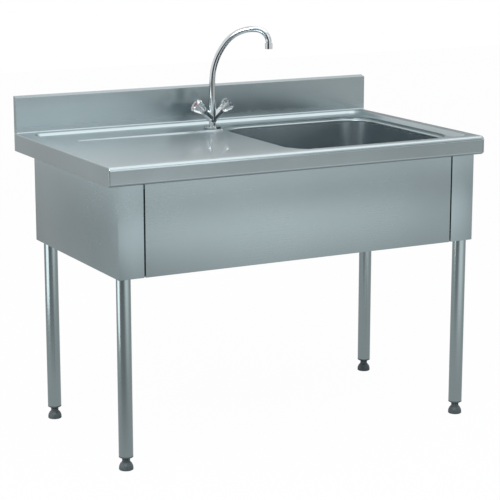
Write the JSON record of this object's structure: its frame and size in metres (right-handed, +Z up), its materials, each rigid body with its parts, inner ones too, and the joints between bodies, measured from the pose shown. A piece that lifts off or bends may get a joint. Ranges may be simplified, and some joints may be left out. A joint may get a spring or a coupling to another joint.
{
  "type": "kitchen sink unit",
  "caption": "Stainless catering sink unit with one deep bowl on the right, a drainer on the left, a backsplash, side and front panels, tube legs on levelling feet and a swan-neck mixer tap.",
  "frame": {"origin": "on the floor, under the middle of the worktop's rectangle", "axes": "+X to the right seen from the front, +Y towards the wall, +Z up"},
  "size_m": [1.2, 0.7, 1.1518],
  "materials": {
    "pressed_steel": "fine satin, brushed along the length",
    "bowl_steel": "satin, drawn",
    "panel_steel": "fine satin",
    "frame_steel": "mill finish",
    "leg_steel": "polished tube",
    "foot_plastic": "moulded, fine texture",
    "screw_steel": "plated",
    "waste_steel": "polished",
    "seal_rubber": "moulded",
    "nut_plastic": "moulded",
    "tap_chrome": "bright plated",
    "handle_acrylic": "clear moulding with a bright edge",
    "fixing_brass": "machined",
    "washer_steel": "zinc plated",
    "aerator_plastic": "moulded mesh",
    "index_red": "gloss",
    "index_blue": "gloss"
  },
  "bodies": {
    "unit": {"worktop": "pressed_steel", "backsplash_end_left": "pressed_steel", "backsplash_end_right": "pressed_steel", "bowl": "bowl_steel", "side_panel_left": "panel_steel", "side_panel_right": "panel_steel", "front_panel": "panel_steel", "joint_strip_left": "frame_steel", "joint_strip_right": "frame_steel", "rear_rail": "frame_steel", "drainer_stiffener_left": "frame_steel", "drainer_stiffener_right": "frame_steel", "leg_gusset_front_left": "frame_steel", "leg_gusset_front_right": "frame_steel", "leg_gusset_rear_left": "frame_steel", "leg_gusset_rear_right": "frame_steel", "leg_front_left": "leg_steel", "leg_front_right": "leg_steel", "leg_rear_left": "leg_steel", "leg_rear_right": "leg_steel", "leg_insert_front_left": "foot_plastic", "leg_insert_front_right": "foot_plastic", "leg_insert_rear_left": "foot_plastic", "leg_insert_rear_right": "foot_plastic", "leg_grub_screws": "screw_steel", "spout_set_screw": "screw_steel", "waste_body": "waste_steel", "waste_seal_upper": "seal_rubber", "waste_seal_lower": "seal_rubber", "tap_seal": "seal_rubber", "tap_washer_rubber": "seal_rubber", "waste_ring_nut": "nut_plastic", "tap_body": "tap_chrome", "headwork_hot": "tap_chrome", "headwork_cold": "tap_chrome", "tap_shank": "fixing_brass", "tap_back_nut": "fixing_brass", "tap_washer_steel": "washer_steel"},
    "hot_handle": {"spindle_hot": "screw_steel", "handle_hot": "handle_acrylic", "handle_screw_hot": "screw_steel", "index_cap_hot": "index_red"},
    "cold_handle": {"spindle_cold": "screw_steel", "handle_cold": "handle_acrylic", "handle_screw_cold": "screw_steel", "index_cap_cold": "index_blue"},
    "spout": {"spout": "tap_chrome", "spout_collar": "tap_chrome", "spout_seals": "seal_rubber", "aerator_housing": "tap_chrome", "aerator_insert": "aerator_plastic"},
    "basket": {"strainer_basket": "waste_steel", "basket_knob": "waste_steel", "basket_plug": "seal_rubber"},
    "foot_front_left": {"foot_front_left": "foot_plastic"},
    "foot_front_right": {"foot_front_right": "foot_plastic"},
    "foot_rear_left": {"foot_rear_left": "foot_plastic"},
    "foot_rear_right": {"foot_rear_right": "foot_plastic"}
  },
  "joints": [
    {"name": "spout_swivel", "type": "hinge", "parent": "unit", "child": "spout", "pos_m": [-0.011, 0.217, 0.9135], "axis": [0, 0, 1], "continuous": true},
    {"name": "hot_valve", "type": "hinge", "parent": "unit", "child": "hot_handle", "pos_m": [-0.011, 0.217, 0.8695], "axis": [-0.766, 0, 0.6428], "range_deg": [0, 90]},
    {"name": "cold_valve", "type": "hinge", "parent": "unit", "child": "cold_handle", "pos_m": [-0.011, 0.217, 0.8695], "axis": [0.766, 0, 0.6428], "range_deg": [0, 90]},
    {"name": "basket_lift", "type": "slide", "parent": "unit", "child": "basket", "axis": [0, 0, 1], "range_m": [0, 0.06]},
    {"name": "level_front_left", "type": "slide", "parent": "unit", "child": "foot_front_left", "axis": [0, 0, -1], "range_m": [0, 0.025]},
    {"name": "level_front_right", "type": "slide", "parent": "unit", "child": "foot_front_right", "axis": [0, 0, -1], "range_m": [0, 0.025]},
    {"name": "level_rear_left", "type": "slide", "parent": "unit", "child": "foot_rear_left", "axis": [0, 0, -1], "range_m": [0, 0.025]},
    {"name": "level_rear_right", "type": "slide", "parent": "unit", "child": "foot_rear_right", "axis": [0, 0, -1], "range_m": [0, 0.025]}
  ]
}
